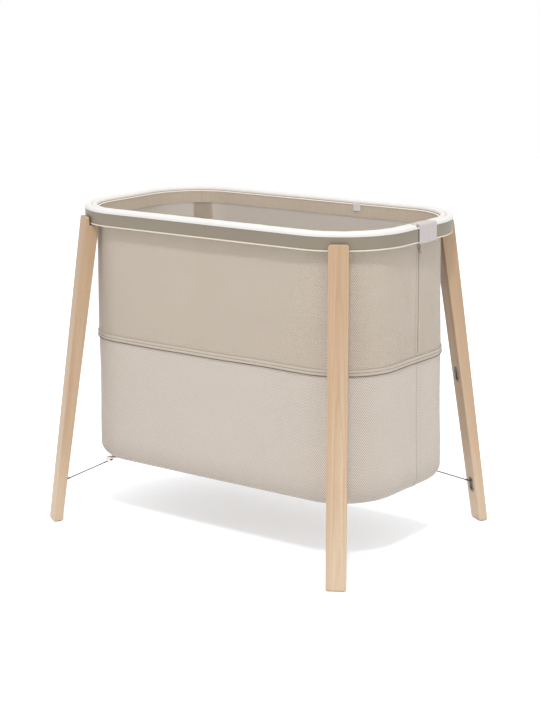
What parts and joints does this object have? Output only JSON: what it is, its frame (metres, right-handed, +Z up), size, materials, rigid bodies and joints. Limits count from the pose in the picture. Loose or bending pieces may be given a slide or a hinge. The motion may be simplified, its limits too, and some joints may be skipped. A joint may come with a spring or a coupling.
{
  "type": "bassinet on stand",
  "caption": "Deep mesh bassinet hung in a rounded metal rim, carried on splayed wooden legs and steadied below by thin wire stays.",
  "frame": {"origin": "centre of the four feet, at the floor", "axes": "+X along the rim's length, +Y across it, +Z up"},
  "size_m": [0.9111, 0.6694, 0.7878],
  "materials": {
    "rim_metal": "anodised in a satin greige",
    "inner_aluminium": "plain extruded",
    "screw_steel": "zinc plated",
    "dark_screw": "dark brown",
    "cover_cloth": "soft knit over foam",
    "bead_cloth": "piped cotton",
    "tab_cloth": "white twill",
    "label_cloth": "woven tape",
    "wall_mesh": "airy spacer mesh",
    "binding_cloth": "folded binding",
    "rod_plastic": "natural",
    "zip_tape": "woven tape",
    "zip_plastic": "moulded",
    "zip_metal": "satin beige",
    "beech": "beech with a clear matt lacquer",
    "glide_felt": "pressed felt",
    "bracket_metal": "cast, satin",
    "plate_metal": "nickel plated, satin",
    "stay_wire": "drawn wire",
    "board_wood": "birch ply",
    "foam": "open foam, stated as a soft solid",
    "mattress_cloth": "quilted cotton"
  },
  "bodies": {
    "stand": {"rim_front": "rim_metal", "rim_back": "rim_metal", "rim_sleeve_right": "inner_aluminium", "rim_sleeve_left": "inner_aluminium", "sleeve_screws": "screw_steel", "leg_front_left": "beech", "leg_front_right": "beech", "leg_back_right": "beech", "leg_back_left": "beech", "foot_glide_front_left": "glide_felt", "foot_glide_front_right": "glide_felt", "foot_glide_back_right": "glide_felt", "foot_glide_back_left": "glide_felt", "leg_bracket_front_left": "bracket_metal", "leg_bracket_front_right": "bracket_metal", "leg_bracket_back_right": "bracket_metal", "leg_bracket_back_left": "bracket_metal", "leg_bolts": "screw_steel", "bracket_screws": "screw_steel", "keyhole_lower_front_left": "plate_metal", "keyhole_lower_front_right": "plate_metal", "keyhole_lower_back_right": "plate_metal", "keyhole_lower_back_left": "plate_metal", "keyhole_upper_front_left": "plate_metal", "keyhole_upper_front_right": "plate_metal", "keyhole_upper_back_right": "plate_metal", "keyhole_upper_back_left": "plate_metal", "keyhole_screws": "dark_screw", "rim_cover": "cover_cloth", "cover_bead": "bead_cloth", "lower_piping": "bead_cloth", "hanging_label": "label_cloth", "upper_wall": "wall_mesh", "seam_rod": "rod_plastic", "seam_binding": "binding_cloth", "lower_wall": "wall_mesh", "zip_tape": "zip_tape", "zip_teeth": "zip_plastic"},
    "bed_base": {"floor_pan": "wall_mesh", "base_board": "board_wood", "anchor_screws": "screw_steel", "stay_anchor_front_left": "plate_metal", "stay_anchor_front_right": "plate_metal", "stay_anchor_back_right": "plate_metal", "stay_anchor_back_left": "plate_metal"},
    "mattress": {"mattress_core": "foam", "mattress_cover": "mattress_cloth"},
    "tab": {"rim_tab": "tab_cloth"},
    "slider": {"zip_slider": "zip_metal"},
    "pull": {"zip_pull": "zip_metal"},
    "stay_front_left": {"stay_front_left": "stay_wire"},
    "stay_front_right": {"stay_front_right": "stay_wire"},
    "stay_back_right": {"stay_back_right": "stay_wire"},
    "stay_back_left": {"stay_back_left": "stay_wire"}
  },
  "joints": [
    {"name": "base_lift", "type": "slide", "parent": "stand", "child": "bed_base", "axis": [0, 0, 1], "range_m": [0, 0.255], "deforming": ["lower_wall"]},
    {"name": "mattress_lift", "type": "slide", "parent": "bed_base", "child": "mattress", "axis": [0, 0, 1], "range_m": [0, 0.65]},
    {"name": "stay_swing_front_left", "type": "hinge", "parent": "stand", "child": "stay_front_left", "pos_m": [-0.4194, -0.29588, 0.09793], "axis": [-0.7705, 0.6374, 0], "range_deg": [0, 61]},
    {"name": "stay_swing_front_right", "type": "hinge", "parent": "stand", "child": "stay_front_right", "pos_m": [0.4194, -0.29588, 0.09793], "axis": [-0.7705, -0.6374, 0], "range_deg": [0, 61]},
    {"name": "stay_swing_back_right", "type": "hinge", "parent": "stand", "child": "stay_back_right", "pos_m": [0.4194, 0.29588, 0.09793], "axis": [0.7705, -0.6374, 0], "range_deg": [0, 61]},
    {"name": "stay_swing_back_left", "type": "hinge", "parent": "stand", "child": "stay_back_left", "pos_m": [-0.4194, 0.29588, 0.09793], "axis": [0.7705, 0.6374, 0], "range_deg": [0, 61]},
    {"name": "tab_fold", "type": "hinge", "parent": "stand", "child": "tab", "pos_m": [0.427, 0.014, 0.78705], "axis": [0, -1, 0], "range_deg": [0, 90]},
    {"name": "zip_run", "type": "slide", "parent": "stand", "child": "slider", "axis": [0, 0, -1], "range_m": [0, 0.235]},
    {"name": "pull_swing", "type": "hinge", "parent": "slider", "child": "pull", "pos_m": [0.4324, 0.021, 0.738], "axis": [0, -1, 0], "range_deg": [0, 80]}
  ],
  "couplings": [
    {"joint": "stay_swing_front_left", "follows": "base_lift", "rad_per_m": 4.1},
    {"joint": "stay_swing_front_right", "follows": "base_lift", "rad_per_m": 4.1},
    {"joint": "stay_swing_back_right", "follows": "base_lift", "rad_per_m": 4.1},
    {"joint": "stay_swing_back_left", "follows": "base_lift", "rad_per_m": 4.1}
  ]
}
